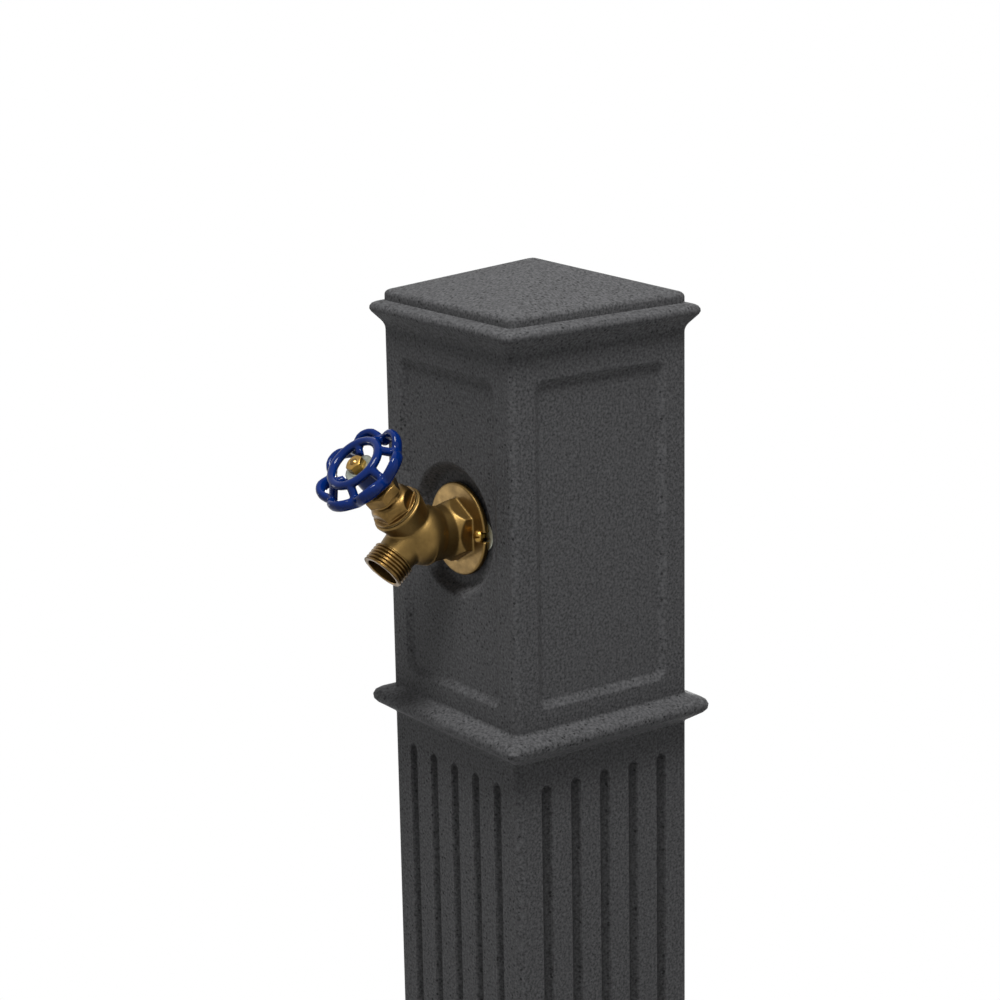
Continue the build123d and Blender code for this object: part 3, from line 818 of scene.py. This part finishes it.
def plain_finish(name, light, dark, roughness, scale, depth, **more):
    """A fine-grained finish between two tones, for the small and the inner pieces.

    scale is how many patches of the grain there are to a metre, and depth how deep they are.
    """
    material, tree, surface = new_material(name, **more)
    place = put(tree, "ShaderNodeTexCoord").outputs["Object"]
    mottle = put(
        tree,
        "ShaderNodeTexNoise",
        inputs={"Scale": scale, "Detail": 5.0, "Roughness": 0.6},
        links={"Vector": place},
    )
    tone = put(
        tree,
        "ShaderNodeValToRGB",
        links={"Fac": mottle.outputs["Fac"]},
        stops=[(0.3, linear(dark)), (0.68, linear(light))],
    )
    tree.links.new(tone.outputs["Color"], surface.inputs["Base Color"])
    rough = put(
        tree,
        "ShaderNodeMapRange",
        inputs={"To Min": roughness * 1.25, "To Max": roughness * 0.8},
        links={"Value": mottle.outputs["Fac"]},
    )
    tree.links.new(rough.outputs["Result"], surface.inputs["Roughness"])
    bump = put(
        tree,
        "ShaderNodeBump",
        inputs={"Strength": 0.3, "Distance": depth},
        links={"Height": mottle.outputs["Fac"]},
    )
    tree.links.new(bump.outputs["Normal"], surface.inputs["Normal"])
    return material


# Pieces
class TAP_OT_post(bpy.types.Operator):
    """Moulded post with softened edges and granite flecks"""

    bl_idname = "garden_tap.post"
    bl_label = "Moulded post"

    def execute(self, context):
        settings = context.scene.tap_post
        piece = copy_of("post_shell", "post_moulded")
        broken_edges(piece, settings.edge, angle=38, segments=3)
        finish(piece, "WEIGHTED_NORMAL", "flats", weight=50, keep_sharp=True)
        settle(piece, Matrix(), "post", "moulded_post", speckled_resin(settings), "post_shell")
        return {"FINISHED"}


class TAP_OT_casting(bpy.types.Operator):
    """Cast body of the tap, with the fillets of a casting, cut off where the hose thread starts"""

    bl_idname = "garden_tap.casting"
    bl_label = "Tap casting"

    def execute(self, context):
        settings = context.scene.tap_casting
        hose = mount("hose_outlet")
        piece = copy_of("tap_body", "tap_casting")
        cut = spout_place() @ Vector((0, 0, -(hose["dims"]["length_mm"] - THREAD_LAP) * MM))
        edit(piece)
        bpy.ops.mesh.bisect(plane_co=cut, plane_no=Vector(hose["axis"]), clear_outer=True)
        bpy.ops.mesh.fill()
        bpy.ops.object.mode_set(mode="OBJECT")
        round_casting(piece, settings.skin, settings.rounding)
        settle(piece, Matrix(), "post", "cast_brass", cast_brass(settings), "tap_body")
        return {"FINISHED"}


class TAP_OT_hose_thread(bpy.types.Operator):
    """Threaded end of the spout"""

    bl_idname = "garden_tap.hose_thread"
    bl_label = "Hose thread"

    def execute(self, context):
        settings = context.scene.tap_thread
        hose = mount("hose_outlet")
        crest = hose["dims"]["r_mm"] * MM
        length = hose["dims"]["length_mm"] * MM
        root = crest - settings.depth
        pitch = settings.pitch
        turns = int(length / pitch) + 2
        profile = [(crest if high else root, 0, share * pitch) for high, share in THREAD_PROFILE]
        piece = drawn_line("hose_thread", profile)
        finish(
            piece,
            "SCREW",
            "helix",
            axis="Z",
            angle=2 * pi,
            screw_offset=pitch,
            iterations=turns,
            steps=ROUND_STEPS,
            render_steps=ROUND_STEPS,
            use_merge_vertices=True,
            merge_threshold=TURNED_WELD,
        )
        edit(piece)
        bpy.ops.mesh.remove_doubles(threshold=WELD)
        # Cut square at both ends, and put with its outer end at zero
        bottom = 0.5 * pitch
        bpy.ops.mesh.bisect(plane_co=(0, 0, bottom), plane_no=(0, 0, 1), clear_inner=True)
        bpy.ops.mesh.select_all(action="SELECT")
        bpy.ops.mesh.bisect(plane_co=(0, 0, bottom + length), plane_no=(0, 0, 1), clear_outer=True)
        bpy.ops.mesh.select_all(action="SELECT")
        bpy.ops.transform.translate(value=(0, 0, -bottom - length))
        bpy.ops.object.mode_set(mode="OBJECT")
        bore = settings.mouth
        lining = turned(
            "hose_bore",
            [
                (root, -END_STEP),
                (crest - settings.lip, 0.0),
                (crest - END_RING, 0.0),
                (bore + settings.mouth_chamfer, 0.0),
                (bore, -settings.mouth_chamfer),
                (bore, -settings.mouth_depth),
                (settings.throat, -settings.mouth_depth),
                (settings.throat, -length),
                (root, -length),
            ],
        )
        pick(piece)
        lining.select_set(True)
        bpy.ops.object.join()
        edit(piece)
        bpy.ops.mesh.normals_make_consistent(inside=False)
        pick(piece)
        bpy.ops.object.shade_smooth_by_angle(angle=THREAD_ANGLE)
        material = bpy.data.materials["free_cutting_brass"]
        settle(piece, spout_place(), "post", "turned_brass", material)
        return {"FINISHED"}


class TAP_OT_turned_parts(bpy.types.Operator):
    """Bonnet, packing nut, wheel nut, stem and the other brass pieces from the lathe"""

    bl_idname = "garden_tap.turned_parts"
    bl_label = "Turned brass parts"

    def execute(self, context):
        material = turned_brass("free_cutting_brass", context.scene.tap_thread.brass)
        # A lighter copy of the turned brass: painted light on the wheel nut and the screw heads
        bright = turned_brass("painted_lit_brass", context.scene.tap_screws.brass)
        for node, body, skin, rounding in NUTS:
            piece = copy_of(node, node + "_finished")
            round_casting(piece, skin, rounding)
            brass = bright if node == "wheel_nut" else material
            settle(piece, Matrix(), body, "turned_brass", brass, node)
        for node in PLAIN_BRASS:
            coat(node, material)
        return {"FINISHED"}


class TAP_OT_screws(bpy.types.Operator):
    """Round-head slotted screws that hold the flange"""

    bl_idname = "garden_tap.screws"
    bl_label = "Flange screws"

    def execute(self, context):
        settings = context.scene.tap_screws
        lowest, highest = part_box("flange_screws")
        head = (highest[2] - lowest[2]) / 2
        top, tail = -lowest[1], -highest[1]
        face = top - settings.head_height
        outline = [(0, tail), (settings.shank, tail), (settings.shank, face), (head, face)]
        for k in range(1, HEAD_STEPS):
            turn = pi / 2 * k / HEAD_STEPS
            outline.append((head * cos(turn), face + settings.head_height * sin(turn)))
        screws = []
        for side in (-1, 1):
            screw = turned("flange_screw", outline + [(0, top)], steps=SCREW_STEPS)
            nothing_selected()
            bpy.ops.mesh.primitive_cube_add(
                size=1.0,
                location=(0, 0, top),
                rotation=(0, 0, settings.slot_turn * side),
                scale=(3 * head, settings.slot_width, 2 * settings.slot_depth),
            )
            cutter = context.object
            finish(screw, "BOOLEAN", "slot", operation="DIFFERENCE", object=cutter, solver="EXACT")
            bpy.data.objects.remove(cutter)
            screw.data.transform(Matrix.Translation((side * (highest[0] - head), 0, 0)))
            screws.append(screw)
        pick(screws[0])
        screws[1].select_set(True)
        bpy.ops.object.join()
        piece = screws[0]
        piece.name = "flange_screws_slotted"
        broken_edges(piece, settings.edge, angle=40)
        # The lighter brass copy, painted light on the screw heads
        material = bpy.data.materials["painted_lit_brass"]
        settle(piece, inlet_place(), "post", "turned_brass", material, "flange_screws")
        return {"FINISHED"}


class TAP_OT_handwheel(bpy.types.Operator):
    """Enamelled handwheel, its corners rounded by the casting and the enamel"""

    bl_idname = "garden_tap.handwheel"
    bl_label = "Handwheel"

    def execute(self, context):
        settings = context.scene.tap_wheel
        piece = copy_of("handwheel", "handwheel_enamelled")
        round_casting(piece, settings.skin, settings.rounding)
        settle(piece, Matrix(), "spindle", "blue_enamel", blue_enamel(settings), "handwheel")
        return {"FINISHED"}


class TAP_OT_washers(bpy.types.Operator):
    """Zinc-plated washers and the disc on the wheel's hub, and the soft rings"""

    bl_idname = "garden_tap.washers"
    bl_label = "Washers and seals"

    def execute(self, context):
        # Zinc plate over steel: pale, faintly green, with a soft shine
        zinc = plain_finish(
            "zinc_plate",
            light="#b9beb2",
            dark="#8d9284",
            roughness=0.36,
            scale=220.0,
            depth=0.03 * MM,
            **{"Metallic": 1.0},
        )
        for node, body in (("wheel_disc", "spindle"), ("flange_washers", "post")):
            piece = copy_of(node, node + "_finished")
            broken_edges(piece, PLATE_EDGE)
            settle(piece, Matrix(), body, "plated_steel", zinc, node)
        # Moulded rubber: black and matt
        rubber = plain_finish(
            "nitrile_rubber",
            light="#262626",
            dark="#161616",
            roughness=0.7,
            scale=300.0,
            depth=0.04 * MM,
        )
        # Pressed fibre: tan, its fibres just visible
        fibre = plain_finish(
            "vulcanised_fibre",
            light="#a08a58",
            dark="#8a7344",
            roughness=0.6,
            scale=400.0,
            depth=0.05 * MM,
        )
        # Braided yarn full of graphite: dark grey, with a slight metal sheen
        graphite = plain_finish(
            "graphite_packing",
            light="#48484c",
            dark="#2c2c30",
            roughness=0.55,
            scale=350.0,
            depth=0.08 * MM,
            **{"Metallic": 0.15},
        )
        coat("seat_washer", rubber)
        coat("bonnet_gasket", fibre)
        coat("stem_packing", graphite)
        return {"FINISHED"}


class TAP_OT_supply(bpy.types.Operator):
    """Supply pipe, elbow, coupling and spacers inside the post"""

    bl_idname = "garden_tap.supply"
    bl_label = "Supply pipe"

    def execute(self, context):
        # Drawn pipe: white and smooth
        pipe = plain_finish(
            "white_pvc",
            light="#e2e2de",
            dark="#cfcfca",
            roughness=0.38,
            scale=40.0,
            depth=0.02 * MM,
            **{"IOR": 1.53},
        )
        # Moulded black plastic with a fine grain
        spacer = plain_finish(
            "black_polypropylene",
            light="#2b2b2b",
            dark="#1d1d1d",
            roughness=0.5,
            scale=120.0,
            depth=0.05 * MM,
            **{"IOR": 1.49},
        )
        for node in ("riser_elbow", "riser_pipe", "inlet_coupling"):
            coat(node, pipe)
        for node in ("upper_pipe_spacer", "lower_pipe_spacer"):
            coat(node, spacer)
        return {"FINISHED"}


# Studio
def white_to_camera(tree):
    """Factor that is 1 for the camera's, glossy and transmission rays, which see plain white."""
    path = put(tree, "ShaderNodeLightPath")
    either = put(
        tree,
        "ShaderNodeMath",
        settings={"operation": "MAXIMUM"},
        links={0: path.outputs["Is Camera Ray"], 1: path.outputs["Is Glossy Ray"]},
    )
    return put(
        tree,
        "ShaderNodeMath",
        settings={"operation": "MAXIMUM"},
        links={0: either.outputs["Value"], 1: path.outputs["Is Transmission Ray"]},
    ).outputs["Value"]


def softbox(name, place, sides, power):
    """A soft rectangular lamp that faces the tap."""
    light = bpy.data.lights.new(name, "AREA")
    light.shape = "RECTANGLE"
    light.size, light.size_y = sides
    light.energy = power
    lamp = bpy.data.objects.new(name, light)
    bpy.context.scene.collection.objects.link(lamp)
    lamp.location = place
    lamp.rotation_euler = (Vector(LAMP_TARGET) - Vector(place)).to_track_quat("-Z", "Y").to_euler()


def white_air(scene):
    """White all round to the camera and in the metal, and a faint light on the object."""
    world = bpy.data.worlds.new("studio_air")
    scene.world = world
    world.use_nodes = True
    tree = world.node_tree
    tree.nodes.clear()
    seen = white_to_camera(tree)
    soft = put(tree, "ShaderNodeBackground", inputs={"Color": WHITE, "Strength": WORLD_LIGHT})
    white = put(tree, "ShaderNodeBackground", inputs={"Color": WHITE, "Strength": 1.0})
    air = put(
        tree,
        "ShaderNodeMixShader",
        links={0: seen, 1: soft.outputs["Background"], 2: white.outputs["Background"]},
    )
    put(tree, "ShaderNodeOutputWorld", links={"Surface": air.outputs["Shader"]})


def white_paper(settings):
    """White background paper: shows the object's shadow near the foot and is plain white beyond."""
    material = bpy.data.materials.new("white_paper")
    material.use_nodes = True
    tree = material.node_tree
    tree.nodes.clear()
    paper = put(tree, "ShaderNodeBsdfDiffuse", inputs={"Color": linear("#f2f2f2")})
    glow = put(tree, "ShaderNodeEmission", inputs={"Color": WHITE, "Strength": 1.0})
    place = put(tree, "ShaderNodeTexCoord").outputs["Object"]
    far = put(tree, "ShaderNodeVectorMath", settings={"operation": "LENGTH"}, links={0: place})
    fade = put(
        tree,
        "ShaderNodeMapRange",
        inputs={
            "From Min": settings.shadow_reach * FADE_START,
            "From Max": settings.shadow_reach,
        },
        links={"Value": far.outputs["Value"]},
    )
    seen = white_to_camera(tree)
    factor = put(
        tree,
        "ShaderNodeMath",
        settings={"operation": "MULTIPLY"},
        links={0: fade.outputs["Result"], 1: seen},
    )
    ground = put(
        tree,
        "ShaderNodeMixShader",
        links={0: factor.outputs["Value"], 1: paper.outputs["BSDF"], 2: glow.outputs["Emission"]},
    )
    put(tree, "ShaderNodeOutputMaterial", links={"Surface": ground.outputs["Shader"]})
    return material


def photo_camera(scene):
    """The camera at the photograph's place, turned by its yaw, pitch and roll."""
    yaw, pitch, roll = CAMERA_YAW, CAMERA_PITCH, CAMERA_ROLL
    ahead = Vector((-sin(yaw) * cos(pitch), cos(yaw) * cos(pitch), -sin(pitch)))
    right = Vector((cos(yaw), sin(yaw), 0))
    down = ahead.cross(right)
    side = cos(roll) * right + sin(roll) * down
    below = -sin(roll) * right + cos(roll) * down
    lens = bpy.data.cameras.new("photo_camera")
    lens.sensor_width = SENSOR
    lens.sensor_fit = "HORIZONTAL"
    lens.lens = FOCAL_PIXELS / PICTURE_PIXELS * SENSOR
    lens.clip_end = 200
    camera = bpy.data.objects.new("photo_camera", lens)
    scene.collection.objects.link(camera)
    turn = Matrix((side, -below, -ahead)).transposed().to_4x4()
    camera.matrix_world = Matrix.Translation(CAMERA_PLACE) @ turn
    scene.camera = camera


class TAP_OT_stage(bpy.types.Operator):
    """White floor, soft light and the camera"""

    bl_idname = "garden_tap.stage"
    bl_label = "Studio"

    def execute(self, context):
        settings = context.scene.tap_stage
        scene = context.scene
        scene.view_settings.view_transform = "Standard"
        white_air(scene)

        nothing_selected()
        bpy.ops.mesh.primitive_plane_add(size=settings.floor_size, location=(0, 0, 0))
        floor = context.object
        floor.name = "studio_floor"
        floor.data.materials.append(white_paper(settings))

        for name, place, sides, power in LAMPS:
            softbox(name, place, sides, power)
        photo_camera(scene)
        return {"FINISHED"}


class TAP_PT_panel(bpy.types.Panel):
    """Lists the pieces in the order in which they are made"""

    bl_idname = "TAP_PT_panel"
    bl_label = "Garden tap"
    bl_space_type = "VIEW_3D"
    bl_region_type = "UI"
    bl_category = "Garden Tap"

    def draw(self, context):
        for step in STEPS:
            self.layout.operator(step.bl_idname, text=step.bl_label)


SETTINGS = {
    "tap_post": PostSettings,
    "tap_casting": CastingSettings,
    "tap_thread": ThreadSettings,
    "tap_screws": ScrewSettings,
    "tap_wheel": WheelSettings,
    "tap_stage": StageSettings,
}
STEPS = (
    TAP_OT_post,
    TAP_OT_turned_parts,
    TAP_OT_screws,
    TAP_OT_casting,
    TAP_OT_hose_thread,
    TAP_OT_handwheel,
    TAP_OT_washers,
    TAP_OT_supply,
    TAP_OT_stage,
)


def register():
    for group in SETTINGS.values():
        bpy.utils.register_class(group)
    for step in STEPS:
        bpy.utils.register_class(step)
    bpy.utils.register_class(TAP_PT_panel)
    for name, group in SETTINGS.items():
        setattr(bpy.types.Scene, name, PointerProperty(type=group))


def unregister():
    for name in SETTINGS:
        delattr(bpy.types.Scene, name)
    bpy.utils.unregister_class(TAP_PT_panel)
    for step in reversed(STEPS):
        bpy.utils.unregister_class(step)
    for group in reversed(list(SETTINGS.values())):
        bpy.utils.unregister_class(group)


def main():
    register()
    bpy.ops.garden_tap.post()
    bpy.ops.garden_tap.turned_parts()
    bpy.ops.garden_tap.screws()
    bpy.ops.garden_tap.casting()
    bpy.ops.garden_tap.hose_thread()
    bpy.ops.garden_tap.handwheel()
    bpy.ops.garden_tap.washers()
    bpy.ops.garden_tap.supply()
    bpy.ops.garden_tap.stage()


if __name__ == "__main__":
    main()
